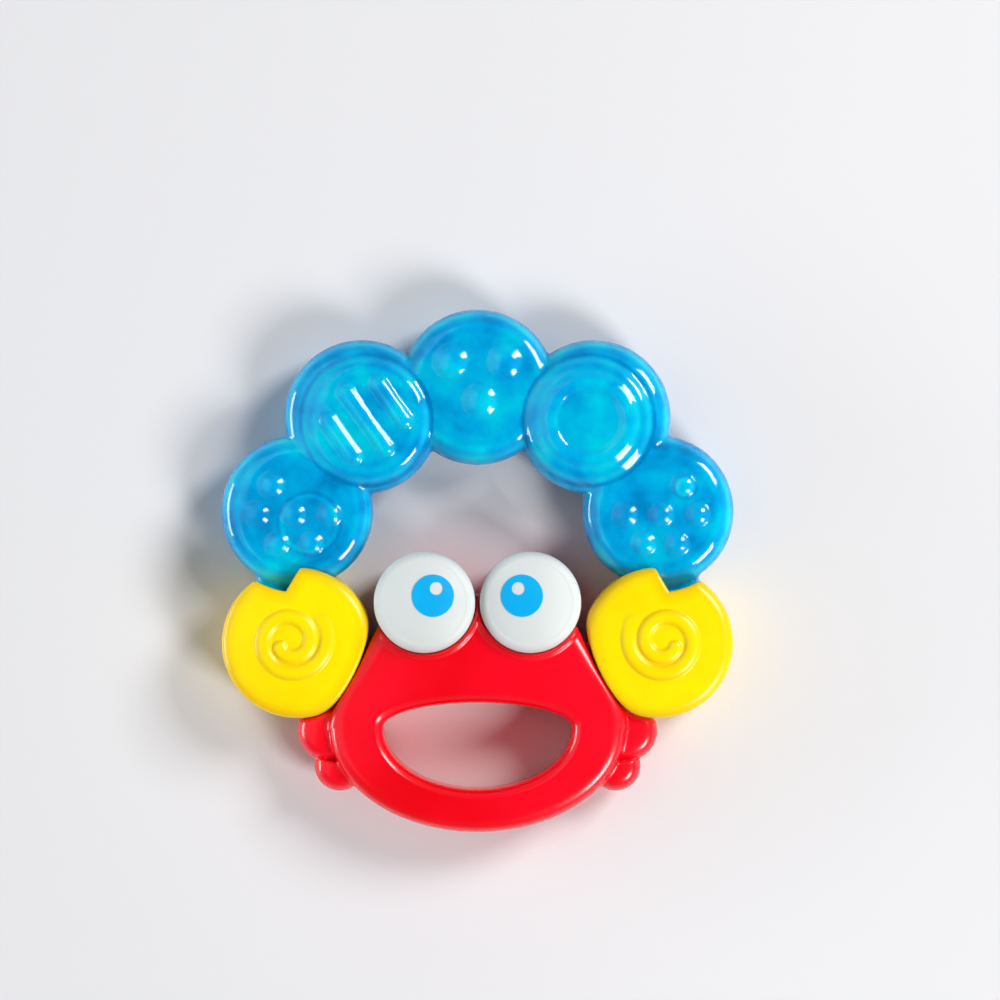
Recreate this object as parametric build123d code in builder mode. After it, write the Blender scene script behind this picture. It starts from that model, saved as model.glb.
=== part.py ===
from build123d import *

import os
from math import cos, radians, sin, sqrt

os.makedirs("parts", exist_ok=True)

# Crab teething ring: an arch of five water-filled bubbles, whose ends are held in the two claws of a
# hollow crab body. The toy lies on its back, X to the right, Y towards the top of the arch and Z from
# the flat back to the eyes. The origin is the middle of the outline, on the back plane. Millimetres.

# ---------------------------------------------------------------- driving sizes

SIDES = {"left": -1, "right": 1}

# Levels along Z
BACK = 0.0
PARTING = 8.0
FACE = 17.0
CLAW_BACK = 0.2
CLAW_FACE = 16.5

# Mouldings
WALL = 2.0
GAP = 0.25
EDGE_ROUND = 2.6
BACK_ROUND = 1.6
CLAW_ROUND = 1.4

# Teether bubbles: centre x, centre y, radius, half thickness at the crown
LOWER_BUBBLE = (37.8, 12.4, 15.9, 6.0)
UPPER_BUBBLE = (24.3, 32.1, 16.2, 7.2)
TOP_BUBBLE = (0.0, 38.4, 16.3, 6.0)
SKIN = 1.8
RIM_HEIGHT = 0.8
SHOULDER = 3.6
CROWN = 0.7
RELIEF = 0.8
DOT_RADIUS = 2.4
DOT_PITCH = 7.2
BIG_DOT_RADIUS = 4.0
RIDGE_WIDTH = 2.6
RIDGE_PITCH = 6.4
RIDGE_LENGTHS = (12.0, 17.0, 12.0)
RIDGE_SLANT = -55.0
RING_RADIUS = 8.6

# Welded tabs at the two ends of the arch
TAB_X = (31.0, 47.5)
TAB_END = -11.2
TAB_HALF = 1.8
TAB_PINS = ((35.2, -8.3), (42.4, -8.3))
PIN_RADIUS = 1.4
PIN_HOLE = 1.65
PLUG_RADIUS = 1.05
PLUG_X = 38.8
PLUG_LENGTH = 8.0
PORT_LENGTH = 13.0
WATER_GAP = 0.05

# Claws
CLAW = (37.7, -15.1)
CLAW_RADIUS = 15.75
FLANK = (57.9, -5.5)
FLANK_RADIUS = 35.9
NOTCH_RADIUS = 17.0
NOTCH_EDGE_LOW = (41.2, -6.4)
NOTCH_EDGE_HIGH = (34.1, 5.6)
SPIRAL_CENTRE = (38.8, -15.2)
SPIRAL_START = 1.5
SPIRAL_STEP = 2.1
SPIRAL_HALF_TURNS = 4
SPIRAL_WIDTH = 2.6
SPIRAL_HEIGHT = 0.6
CLAW_SCREWS = ((43.5, -17.5), (34.8, -24.6))

# Body
JAW_Y = -33.0
JAW_HALF_WIDTH = 31.0
JAW_HALF_HEIGHT = 21.7
CHEEKS = ((19.5, -4.0), (24.0, -13.5), (31.0, -26.0), (31.0, -33.0))
CORNER_ROUND = 3.0
MOUTH_Y = -32.9
MOUTH_HALF_WIDTH = 19.75
MOUTH_RISE = 5.3
MOUTH_DROP = 12.9
LIP_ROUND = 1.6
LEGS = ((31.2, -33.5, 6.5), (28.9, -40.9, 5.3))
LEG_HALF = 5.0
LEG_ROUND = 2.4
BODY_SCREWS = ((18.5, -22.0), (20.2, -43.8))

# Arms: lugs of the body that run into the claws
ARM_ROOT = (22.5, -19.0)
ARM_EYE = (31.0, -16.8)
ARM_WIDTH = 7.0
ARM_BOTTOM = 5.2
ARM_HOLE = 2.0
ARM_POST = 1.8
ARM_COLLAR = 3.1
CLAMP_GAP = 0.1
CLAMP_RADIUS = 2.4

# Eyes
EYE = (11.05, -6.6)
EYE_RADIUS = 10.55
EYE_TOP = 20.5
EYE_SHOULDER = (8.6, 19.0)
EYE_SIDE_TOP = 16.4
EYE_WALL = 1.5
SOCKET_RADIUS = 10.7
SOCKET_FLOOR = 9.6
SOCKET_WALL = 12.2
LOBE_RADIUS = 9.6
DRUM_BOTTOM = 9.7
BASE_RADIUS = 8.95
BASE_TOP = 11.2
SLEEVE_RADIUS = 3.8
SLEEVE_TOP = 16.0
EYE_BOSS_RADIUS = 2.45
EYE_BOSS_BOTTOM = 11.0
PUPIL_OFFSET = (-1.8, 1.45)
PUPIL_RADIUS = 4.4
GLINT_OFFSET = (-0.73, 1.5)
GLINT_RADIUS = 1.35
INK = 0.12

# Rattle beads
BEAD_RADIUS = 2.0
BEAD_TRACK = 6.5
BEAD_ANGLES = (90.0, 210.0, 330.0)

# Self-tapping screws, 2.3 mm thread
SCREW_HEAD_RADIUS = 2.1
SCREW_HEAD_HEIGHT = 1.6
SCREW_RADIUS = 1.15
SCREW_LENGTH = 10.0
EYE_SCREW_LENGTH = 6.0
SCREW_RECESS = 1.4
BORE = 1.2
BOSS_RADIUS = 2.6
COUNTERBORE_RADIUS = 2.35
HEAD_BOSS_RADIUS = 3.8
CROSS = (2.6, 0.6)
CROSS_DEPTH = 0.9
BODY_BORE_DEPTH = 6.0
CLAW_BORE_DEPTH = 6.0


def mirrored(point, side):
    """A point of the right half, moved to the side that is asked for."""
    return (side * point[0], point[1])


def crown_middle(across, top, drop):
    """Point half-way out on a spherical crown that falls by drop at the distance across from its axis."""
    ball = (across * across + drop * drop) / (2 * drop)
    return (across / 2, top - ball + sqrt(ball * ball - across * across / 4))


# ---------------------------------------------------------------- shared profiles


def mouth_profile(grow):
    """Smiling mouth: a low upper lip over a deep lower lip, on the XY plane."""
    across = MOUTH_HALF_WIDTH + grow
    with BuildSketch() as profile:
        with BuildLine():
            EllipticalCenterArc((0, MOUTH_Y), across, MOUTH_RISE + grow, 0, arc_size=180)
            EllipticalCenterArc((0, MOUTH_Y), across, MOUTH_DROP + grow, 180, arc_size=180)
        make_face()
    return profile.sketch


def claw_disc(side, grow):
    """Claw outline without its notch: a disc with one flattened flank towards the body."""
    with BuildSketch() as profile:
        with Locations(mirrored(CLAW, side)):
            Circle(CLAW_RADIUS + grow)
        with Locations(mirrored(FLANK, side)):
            Circle(FLANK_RADIUS + grow, mode=Mode.INTERSECT)
    return profile.sketch


def claw_notch(side):
    """The bite in the claw: it follows the bubble and ends at the finger's steep edge."""
    corners = (NOTCH_EDGE_LOW, NOTCH_EDGE_HIGH, (60.0, 8.0), (60.0, -8.0))
    with BuildSketch() as profile:
        with Locations(mirrored(LOWER_BUBBLE[:2], side)):
            Circle(NOTCH_RADIUS)
        with BuildSketch(mode=Mode.INTERSECT):
            with BuildLine():
                Polyline(*[mirrored(corner, side) for corner in corners], close=True)
            make_face()
    return profile.sketch


def claw_profile(side, inset):
    """Whole claw outline, moved inwards by inset."""
    with BuildSketch() as profile:
        add(claw_disc(side, 0))
        add(claw_notch(side), mode=Mode.SUBTRACT)
        if inset:
            offset(amount=-inset, kind=Kind.INTERSECTION)
    return profile.sketch


def body_profile(inset):
    """Body outline moved inwards by inset: the jaw's ellipse, the cheeks and a bay for each claw."""
    brow_y = CHEEKS[0][1] - inset
    right = [(x - inset, min(y, brow_y)) for x, y in CHEEKS]
    left = [mirrored(corner, -1) for corner in reversed(right)]
    with BuildSketch() as profile:
        with Locations((0, JAW_Y)):
            Ellipse(JAW_HALF_WIDTH - inset, JAW_HALF_HEIGHT - inset)
        with BuildLine():
            Polyline(*right, *left, close=True)
        make_face()
        with Locations(*[mirrored(FLANK, side) for side in SIDES.values()]):
            Circle(FLANK_RADIUS + GAP + inset, mode=Mode.SUBTRACT)
        corners = profile.vertices().filter_by(lambda corner: abs(corner.Y - JAW_Y) > 0.1)
        fillet(corners, CORNER_ROUND - inset)
    return profile.sketch


def leg_pocket_profile():
    """Hollows inside the four leg lobes, one wall in from their outline and from the claws."""
    with BuildSketch() as profile:
        for side in SIDES.values():
            for x, y, radius in LEGS:
                with Locations((side * x, y)):
                    Circle(radius - WALL)
        for side in SIDES.values():
            add(claw_disc(side, GAP + WALL), mode=Mode.SUBTRACT)
    return profile.sketch


def arm_profile(side, grow):
    """Arm lug from the body's flank to its eye inside the claw."""
    with BuildSketch() as profile:
        with BuildLine():
            Line(mirrored(ARM_ROOT, side), mirrored(ARM_EYE, side))
            offset(amount=ARM_WIDTH / 2 + grow, side=Side.BOTH)
        make_face()
    return profile.sketch


def tab_profile(side, grow):
    """Welded tab at one end of the arch, from the bubble down into the claw."""
    width = TAB_X[1] - TAB_X[0]
    height = LOWER_BUBBLE[1] - TAB_END
    centre = mirrored(((TAB_X[0] + TAB_X[1]) / 2, (LOWER_BUBBLE[1] + TAB_END) / 2), side)
    with BuildSketch() as profile:
        with Locations(centre):
            RectangleRounded(width + 2 * grow, height + 2 * grow, 2.0)
    return profile.sketch


def bubble_places():
    """Centre, radius and half thickness of the five bubbles, from the left end to the right end."""
    left = [(-x, y, radius, half) for x, y, radius, half in (LOWER_BUBBLE, UPPER_BUBBLE)]
    return left + [TOP_BUBBLE] + [UPPER_BUBBLE, LOWER_BUBBLE]


def half_bubble(place, grow, direction):
    """Solid half of one bubble, grown by grow, on the front (1) or back (-1) of the parting plane."""
    x, y, radius, half = place
    across = radius + grow
    height = half + grow
    shoulder = (across - SHOULDER, height - CROWN)
    bulge = (across - 0.29 * SHOULDER, RIM_HEIGHT + 0.71 * (shoulder[1] - RIM_HEIGHT))
    plane = Plane((x, y, PARTING), x_dir=(1, 0, 0), z_dir=(0, -direction, 0))
    with BuildPart() as bubble:
        with BuildSketch(plane):
            with BuildLine():
                Line((0, 0), (across, 0))
                Line((across, 0), (across, RIM_HEIGHT))
                ThreePointArc((across, RIM_HEIGHT), bulge, shoulder)
                ThreePointArc(shoulder, crown_middle(shoulder[0], height, CROWN), (0, height))
                Line((0, height), (0, 0))
            make_face()
        revolve(axis=Axis((x, y, PARTING), (0, 0, 1)))
    return bubble.part


def arch_core(grow, direction):
    """Half of the arch without its relief."""
    with BuildPart() as core:
        for place in bubble_places():
            add(half_bubble(place, grow, direction))
    return core.part


def dot_places(place):
    """Seven dots in a hexagon for a lower bubble."""
    x, y = place[:2]
    ring = [(x + DOT_PITCH * cos(radians(a)), y + DOT_PITCH * sin(radians(a))) for a in range(0, 360, 60)]
    return [(x, y)] + ring


def dot(x, y, radius, crown):
    """A low rounded dot that stands RELIEF over the crown height it is given."""
    ball = (radius * radius + RELIEF * RELIEF) / (2 * RELIEF)
    with BuildPart() as bump:
        with Locations((x, y, crown + RELIEF - ball)):
            Sphere(ball)
        with BuildSketch(Plane.XY.offset(crown - 2.2)):
            with Locations((x, y)):
                Circle(radius + 1.2)
        extrude(amount=4.0, mode=Mode.INTERSECT)
    return bump.part


def front_relief():
    """Every raised pattern of the front skin, as one part."""
    with BuildPart() as relief:
        for side in SIDES.values():
            x, y, _, half = LOWER_BUBBLE
            for dot_x, dot_y in dot_places((side * x, y)):
                add(dot(dot_x, dot_y, DOT_RADIUS, PARTING + half - 0.25))
        x, y, _, half = TOP_BUBBLE
        for dot_x, dot_y in ((x - 5.4, y + 5.6), (x + 5.4, y + 5.6), (x, y - 2.6)):
            add(dot(dot_x, dot_y, BIG_DOT_RADIUS, PARTING + half - 0.3))
        x, y, _, half = UPPER_BUBBLE
        slant = radians(RIDGE_SLANT)
        for row, length in enumerate(RIDGE_LENGTHS):
            along = (row - 1) * RIDGE_PITCH
            middle = (-x - along * sin(slant), y + along * cos(slant))
            with BuildSketch(Plane.XY.offset(PARTING + half - 1.5)):
                with Locations(Location((middle[0], middle[1], 0), (0, 0, RIDGE_SLANT))):
                    SlotOverall(length, RIDGE_WIDTH)
            extrude(amount=1.5 + RELIEF)
        with BuildSketch(Plane.XY.offset(PARTING + half - 1.5)):
            with Locations((x, y)):
                Circle(RING_RADIUS + RIDGE_WIDTH / 2)
                Circle(RING_RADIUS - RIDGE_WIDTH / 2, mode=Mode.SUBTRACT)
        extrude(amount=1.5 + RELIEF)
    return relief.part


def spiral_band(side):
    """Band of semicircles that winds outwards, drawn on the XY plane."""
    x, y = mirrored(SPIRAL_CENTRE, side)
    with BuildSketch() as band:
        with BuildLine():
            heading = side
            start_x = x + heading * SPIRAL_START
            for turn in range(SPIRAL_HALF_TURNS):
                radius = SPIRAL_START + turn * SPIRAL_STEP
                centre_x = start_x - heading * radius
                end_x = start_x - 2 * heading * radius
                dip = -radius if turn % 2 == 0 else radius
                ThreePointArc((start_x, y), (centre_x, y + dip), (end_x, y))
                start_x = end_x
                heading = -heading
            offset(amount=SPIRAL_WIDTH / 2, side=Side.BOTH)
        make_face()
    return band.sketch


def eye_profile(grow):
    """Half section of the eye dome, from its axis to its side."""
    side = EYE_RADIUS + grow
    top = EYE_TOP + grow
    shoulder = (EYE_SHOULDER[0] + 0.7 * grow, EYE_SHOULDER[1] + 0.7 * grow)
    bulge = (side - 0.55, (EYE_SIDE_TOP + shoulder[1]) / 2 + 0.55)
    with BuildSketch(Plane.XZ) as profile:
        with BuildLine():
            Line((0, DRUM_BOTTOM), (side, DRUM_BOTTOM))
            Line((side, DRUM_BOTTOM), (side, EYE_SIDE_TOP))
            ThreePointArc((side, EYE_SIDE_TOP), bulge, shoulder)
            ThreePointArc(shoulder, crown_middle(shoulder[0], top, top - shoulder[1]), (0, top))
            Line((0, top), (0, DRUM_BOTTOM))
        make_face()
    return profile.sketch


def screw(places, head_bottom, length):
    """Pan-head screws pointing up, with a cross recess in each head."""
    with BuildPart() as screws:
        with Locations(*[(x, y, head_bottom) for x, y in places]):
            Cylinder(SCREW_HEAD_RADIUS, SCREW_HEAD_HEIGHT, align=(Align.CENTER, Align.CENTER, Align.MIN))
        with Locations(*[(x, y, head_bottom + SCREW_HEAD_HEIGHT) for x, y in places]):
            Cylinder(SCREW_RADIUS, length, align=(Align.CENTER, Align.CENTER, Align.MIN))
        with BuildSketch(Plane.XY.offset(head_bottom)):
            with Locations(*places):
                Rectangle(*CROSS)
                Rectangle(CROSS[1], CROSS[0])
        extrude(amount=CROSS_DEPTH, mode=Mode.SUBTRACT)
        ends = screws.faces().sort_by(Axis.Z).group_by(Axis.Z)[-1].edges()
        chamfer(ends, 0.3)
    return screws


# ---------------------------------------------------------------- crab body

body_screw_places = [mirrored(place, side) for side in SIDES.values() for place in BODY_SCREWS]
eye_places = [mirrored(EYE, side) for side in SIDES.values()]


def leg_lobe(x, y, radius):
    """One solid lobe that rises from the XY plane and is rounded on top."""
    with BuildPart() as lobe:
        with BuildSketch():
            with Locations((x, y)):
                Circle(radius)
        extrude(amount=LEG_HALF)
        fillet(lobe.faces().sort_by(Axis.Z)[-1].edges(), LEG_ROUND)
    return lobe.part


def leg_lobes():
    """Front half of the four hollow leg lobes, standing on the XY plane."""
    with BuildPart() as legs:
        for side in SIDES.values():
            for x, y, radius in LEGS:
                add(leg_lobe(side * x, y, radius))
        with BuildSketch():
            for side in SIDES.values():
                add(claw_disc(side, GAP))
        extrude(amount=LEG_HALF, mode=Mode.SUBTRACT)
        with BuildSketch():
            add(leg_pocket_profile())
        extrude(amount=LEG_HALF - WALL, mode=Mode.SUBTRACT)
    return legs.part


front_legs = Pos(0, 0, PARTING) * leg_lobes()
back_legs = mirror(front_legs, about=Plane.XY.offset(PARTING))

with BuildPart() as body_front:
    with BuildSketch(Plane.XY.offset(PARTING)):
        add(body_profile(0))
    extrude(amount=FACE - PARTING)
    fillet(body_front.faces().sort_by(Axis.Z)[-1].edges(), EDGE_ROUND)
    with BuildSketch(Plane.XY.offset(PARTING)):
        add(mouth_profile(0))
    extrude(amount=FACE - PARTING, mode=Mode.SUBTRACT)
    fillet(body_front.faces().sort_by(Axis.Z)[-1].inner_wires()[0].edges(), LIP_ROUND)
    add(front_legs)
    with BuildSketch(Plane.XY.offset(PARTING)):
        add(body_profile(WALL))
        add(mouth_profile(WALL), mode=Mode.SUBTRACT)
        with Locations(*eye_places):
            Circle(SOCKET_WALL, mode=Mode.SUBTRACT)
        with Locations(*body_screw_places):
            Circle(BOSS_RADIUS, mode=Mode.SUBTRACT)
    extrude(amount=FACE - WALL - PARTING, mode=Mode.SUBTRACT)
    with BuildSketch(Plane.XY.offset(PARTING)):
        with Locations(*eye_places):
            Circle(LOBE_RADIUS)
    extrude(amount=SOCKET_FLOOR - PARTING)
    with BuildSketch(Plane.XY.offset(SOCKET_FLOOR)):
        with Locations(*eye_places):
            Circle(SOCKET_RADIUS)
    extrude(amount=FACE - SOCKET_FLOOR, mode=Mode.SUBTRACT)
    with BuildSketch(Plane.XY.offset(PARTING)):
        with Locations(*eye_places):
            Circle(BORE)
    extrude(amount=SOCKET_FLOOR - PARTING, mode=Mode.SUBTRACT)
    with BuildSketch(Plane.XY.offset(PARTING)):
        with Locations(*body_screw_places):
            Circle(BORE)
    extrude(amount=BODY_BORE_DEPTH, mode=Mode.SUBTRACT)
body_front.part.label = "body_front"
export_step(body_front.part, "parts/body_front.step")

with BuildPart() as body_back:
    with BuildSketch(Plane.XY.offset(BACK)):
        add(body_profile(0))
    extrude(amount=PARTING - BACK)
    fillet(body_back.faces().sort_by(Axis.Z)[0].edges(), BACK_ROUND)
    with BuildSketch(Plane.XY.offset(BACK)):
        add(mouth_profile(0))
    extrude(amount=PARTING - BACK, mode=Mode.SUBTRACT)
    fillet(body_back.faces().sort_by(Axis.Z)[0].inner_wires()[0].edges(), BACK_ROUND)
    add(back_legs)
    with BuildSketch(Plane.XY.offset(BACK)):
        with Locations(*eye_places):
            Circle(LOBE_RADIUS)
    extrude(amount=PARTING - BACK)
    with BuildSketch(Plane.XY.offset(BACK + WALL)):
        add(body_profile(WALL))
        with Locations(*eye_places):
            Circle(LOBE_RADIUS - WALL)
        add(mouth_profile(WALL), mode=Mode.SUBTRACT)
        with Locations(*body_screw_places):
            Circle(HEAD_BOSS_RADIUS, mode=Mode.SUBTRACT)
    extrude(amount=PARTING - BACK - WALL, mode=Mode.SUBTRACT)
    for side in SIDES.values():
        with BuildSketch(Plane.XY.offset(ARM_BOTTOM)):
            add(arm_profile(side, 0))
        extrude(amount=PARTING - ARM_BOTTOM)
        with BuildSketch(Plane.XY.offset(ARM_BOTTOM)):
            with Locations(mirrored(ARM_EYE, side)):
                Circle(ARM_HOLE)
        extrude(amount=PARTING - ARM_BOTTOM, mode=Mode.SUBTRACT)
    with Locations(Plane(origin=(0, 0, BACK), x_dir=(1, 0, 0), z_dir=(0, 0, -1))):
        with Locations(*[(x, -y, 0) for x, y in body_screw_places]):
            CounterBoreHole(BORE, COUNTERBORE_RADIUS, SCREW_RECESS + SCREW_HEAD_HEIGHT, PARTING - BACK)
body_back.part.label = "body_back"
export_step(body_back.part, "parts/body_back.step")

body_screws = screw(body_screw_places, BACK + SCREW_RECESS, SCREW_LENGTH)
body_screws.part.label = "body_screws"
export_step(body_screws.part, "parts/body_screws.step")

# ---------------------------------------------------------------- eyes, with their rattle beads


def revolved_eye(side, grow):
    """Solid dome of one eye, grown by grow."""
    with BuildPart() as dome:
        add(eye_profile(grow))
        revolve(axis=Axis.Z)
    return Pos(side * EYE[0], EYE[1], 0) * dome.part


for name, side in SIDES.items():
    eye = mirrored(EYE, side)

    with BuildPart() as eye_cap:
        add(revolved_eye(side, 0))
        with BuildPart(mode=Mode.SUBTRACT):
            add(revolved_eye(side, -EYE_WALL))
            with BuildSketch(Plane.XY.offset(DRUM_BOTTOM)):
                with Locations(eye):
                    Circle(EYE_RADIUS - EYE_WALL)
            extrude(amount=EYE_WALL)
        with BuildSketch(Plane.XY.offset(EYE_BOSS_BOTTOM)):
            with Locations(eye):
                Circle(EYE_BOSS_RADIUS)
                Circle(BORE, mode=Mode.SUBTRACT)
        extrude(amount=EYE_TOP - EYE_WALL / 2 - EYE_BOSS_BOTTOM)
    eye_cap.part.label = f"eye_{name}_cap"
    export_step(eye_cap.part, f"parts/eye_{name}_cap.step")

    with BuildPart() as eye_base:
        with BuildSketch(Plane.XY.offset(DRUM_BOTTOM)):
            with Locations(eye):
                Circle(BASE_RADIUS)
                Circle(BORE, mode=Mode.SUBTRACT)
        extrude(amount=EYE_BOSS_BOTTOM - DRUM_BOTTOM - 0.1)
        with BuildSketch(Plane.XY.offset(EYE_BOSS_BOTTOM - 0.1)):
            with Locations(eye):
                Circle(BASE_RADIUS)
                Circle(EYE_BOSS_RADIUS + 0.1, mode=Mode.SUBTRACT)
        extrude(amount=BASE_TOP - EYE_BOSS_BOTTOM + 0.1)
        with BuildSketch(Plane.XY.offset(BASE_TOP)):
            with Locations(eye):
                Circle(SLEEVE_RADIUS)
                Circle(EYE_BOSS_RADIUS + 0.1, mode=Mode.SUBTRACT)
        extrude(amount=SLEEVE_TOP - BASE_TOP)
    eye_base.part.label = f"eye_{name}_base"
    export_step(eye_base.part, f"parts/eye_{name}_base.step")

    pupil = (eye[0] + side * PUPIL_OFFSET[0], eye[1] + PUPIL_OFFSET[1])
    glint = (pupil[0] + side * GLINT_OFFSET[0], pupil[1] + GLINT_OFFSET[1])
    with BuildPart() as pupil_print:
        add(revolved_eye(side, INK))
        add(revolved_eye(side, 0), mode=Mode.SUBTRACT)
        with BuildSketch(Plane.XY.offset(EYE_SIDE_TOP)):
            with Locations(pupil):
                Circle(PUPIL_RADIUS)
            with Locations(glint):
                Circle(GLINT_RADIUS, mode=Mode.SUBTRACT)
        extrude(amount=EYE_TOP, mode=Mode.INTERSECT)
    pupil_print.part.label = f"pupil_{name}_print"
    export_step(pupil_print.part, f"parts/pupil_{name}_print.step")

    for number, angle in enumerate(BEAD_ANGLES, start=1):
        track = radians(angle)
        with BuildPart() as bead:
            centre = (eye[0] + BEAD_TRACK * cos(track), eye[1] + BEAD_TRACK * sin(track))
            with Locations((centre[0], centre[1], BASE_TOP + BEAD_RADIUS + 0.05)):
                Sphere(BEAD_RADIUS)
        bead.part.label = f"rattle_bead_{name}_{number}"
        export_step(bead.part, f"parts/rattle_bead_{name}_{number}.step")

eye_screws = screw(eye_places, PARTING - SCREW_HEAD_HEIGHT, EYE_SCREW_LENGTH)
eye_screws.part.label = "eye_screws"
export_step(eye_screws.part, "parts/eye_screws.step")

# ---------------------------------------------------------------- teether arch


def arch_skin(direction, relief):
    """Half of the arch's hollow skin, with its relief and its two end tabs."""
    with BuildPart() as skin:
        add(arch_core(0, direction))
        add(relief)
        for side in SIDES.values():
            with BuildSketch(Plane.XY.offset(PARTING)):
                add(tab_profile(side, 0))
            extrude(amount=direction * TAB_HALF)
        add(arch_core(-SKIN, direction), mode=Mode.SUBTRACT)
        for side in SIDES.values():
            with BuildSketch(Plane.XY.offset(PARTING)):
                with Locations(*[mirrored(pin, side) for pin in TAB_PINS]):
                    Circle(PIN_HOLE)
            extrude(amount=direction * TAB_HALF, mode=Mode.SUBTRACT)
        with BuildSketch(Plane((-PLUG_X, TAB_END, PARTING), x_dir=(1, 0, 0), z_dir=(0, 1, 0))):
            Circle(PLUG_RADIUS + 0.05)
        extrude(amount=PORT_LENGTH, mode=Mode.SUBTRACT)
    return skin.part


relief = front_relief()
back_relief = mirror(relief, about=Plane.XY.offset(PARTING))

with BuildPart() as teether_front_skin:
    add(arch_skin(1, relief))
teether_front_skin.part.label = "teether_front_skin"
export_step(teether_front_skin.part, "parts/teether_front_skin.step")

with BuildPart() as teether_back_skin:
    add(arch_skin(-1, back_relief))
teether_back_skin.part.label = "teether_back_skin"
export_step(teether_back_skin.part, "parts/teether_back_skin.step")

with BuildPart() as teether_water:
    add(arch_core(-SKIN - WATER_GAP, 1))
    add(arch_core(-SKIN - WATER_GAP, -1))
teether_water.part.label = "teether_water"
export_step(teether_water.part, "parts/teether_water.step")

with BuildPart() as teether_plug:
    with BuildSketch(Plane((-PLUG_X, TAB_END, PARTING), x_dir=(1, 0, 0), z_dir=(0, 1, 0))):
        Circle(PLUG_RADIUS)
    extrude(amount=PLUG_LENGTH)
teether_plug.part.label = "teether_plug"
export_step(teether_plug.part, "parts/teether_plug.step")

# ---------------------------------------------------------------- claws

for name, side in SIDES.items():
    bubble = (side * LOWER_BUBBLE[0], *LOWER_BUBBLE[1:])
    pins = [mirrored(pin, side) for pin in TAB_PINS]
    arm_eye = mirrored(ARM_EYE, side)
    claw_screw_places = [mirrored(place, side) for place in CLAW_SCREWS]

    with BuildPart() as claw_front:
        with BuildSketch(Plane.XY.offset(PARTING)):
            add(claw_profile(side, 0))
        extrude(amount=CLAW_FACE - PARTING)
        fillet(claw_front.faces().sort_by(Axis.Z)[-1].edges(), CLAW_ROUND)
        with BuildSketch(Plane.XY.offset(CLAW_FACE)):
            add(spiral_band(side))
        extrude(amount=SPIRAL_HEIGHT)
        with BuildSketch(Plane.XY.offset(PARTING)):
            add(claw_profile(side, WALL))
            with Locations(*claw_screw_places):
                Circle(BOSS_RADIUS, mode=Mode.SUBTRACT)
        extrude(amount=CLAW_FACE - WALL - PARTING, mode=Mode.SUBTRACT)
        with BuildSketch(Plane.XY.offset(PARTING + TAB_HALF + CLAMP_GAP)):
            with Locations(*pins):
                Circle(CLAMP_RADIUS)
        extrude(amount=CLAW_FACE - WALL - PARTING - TAB_HALF - CLAMP_GAP)
        with BuildSketch(Plane.XY.offset(PARTING + CLAMP_GAP)):
            with Locations(arm_eye):
                Circle(ARM_COLLAR)
        extrude(amount=CLAW_FACE - WALL - PARTING - CLAMP_GAP)
        with BuildSketch(Plane.XY.offset(PARTING)):
            add(tab_profile(side, GAP))
        extrude(amount=TAB_HALF + CLAMP_GAP, mode=Mode.SUBTRACT)
        add(half_bubble(bubble, GAP, 1), mode=Mode.SUBTRACT)
        with BuildSketch(Plane.XY.offset(PARTING)):
            with Locations(*claw_screw_places):
                Circle(BORE)
        extrude(amount=CLAW_BORE_DEPTH, mode=Mode.SUBTRACT)
    claw_front.part.label = f"claw_{name}_front"
    export_step(claw_front.part, f"parts/claw_{name}_front.step")

    with BuildPart() as claw_back:
        with BuildSketch(Plane.XY.offset(CLAW_BACK)):
            add(claw_profile(side, 0))
        extrude(amount=PARTING - CLAW_BACK)
        fillet(claw_back.faces().sort_by(Axis.Z)[0].edges(), CLAW_ROUND)
        with BuildSketch(Plane.XY.offset(CLAW_BACK + WALL)):
            add(claw_profile(side, WALL))
            with Locations(*claw_screw_places):
                Circle(HEAD_BOSS_RADIUS, mode=Mode.SUBTRACT)
        extrude(amount=PARTING - CLAW_BACK - WALL, mode=Mode.SUBTRACT)
        with BuildSketch(Plane.XY.offset(CLAW_BACK + WALL)):
            with Locations(*pins):
                Circle(CLAMP_RADIUS)
        extrude(amount=PARTING - TAB_HALF - CLAMP_GAP - CLAW_BACK - WALL)
        with BuildSketch(Plane.XY.offset(CLAW_BACK + WALL)):
            with Locations(arm_eye):
                Circle(ARM_COLLAR)
        extrude(amount=ARM_BOTTOM - CLAMP_GAP - CLAW_BACK - WALL)
        with BuildSketch(Plane.XY.offset(PARTING)):
            add(tab_profile(side, GAP))
        extrude(amount=-TAB_HALF - CLAMP_GAP, mode=Mode.SUBTRACT)
        with BuildSketch(Plane.XY.offset(ARM_BOTTOM - CLAMP_GAP)):
            add(arm_profile(side, GAP))
        extrude(amount=PARTING - ARM_BOTTOM + CLAMP_GAP, mode=Mode.SUBTRACT)
        with BuildSketch(Plane.XY.offset(CLAW_BACK + WALL)):
            with Locations(*pins):
                Circle(PIN_RADIUS)
        extrude(amount=PARTING + TAB_HALF - CLAW_BACK - WALL)
        with BuildSketch(Plane.XY.offset(CLAW_BACK + WALL)):
            with Locations(arm_eye):
                Circle(ARM_POST)
        extrude(amount=PARTING - CLAW_BACK - WALL)
        add(half_bubble(bubble, GAP, -1), mode=Mode.SUBTRACT)
        with Locations(Plane(origin=(0, 0, CLAW_BACK), x_dir=(1, 0, 0), z_dir=(0, 0, -1))):
            with Locations(*[(x, -y, 0) for x, y in claw_screw_places]):
                CounterBoreHole(BORE, COUNTERBORE_RADIUS, SCREW_RECESS + SCREW_HEAD_HEIGHT, PARTING)
    claw_back.part.label = f"claw_{name}_back"
    export_step(claw_back.part, f"parts/claw_{name}_back.step")

    claw_screws = screw(claw_screw_places, CLAW_BACK + SCREW_RECESS, SCREW_LENGTH)
    claw_screws.part.label = f"claw_{name}_screws"
    export_step(claw_screws.part, f"parts/claw_{name}_screws.step")
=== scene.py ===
from functools import reduce
from math import cos, pi, radians, sin

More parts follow.
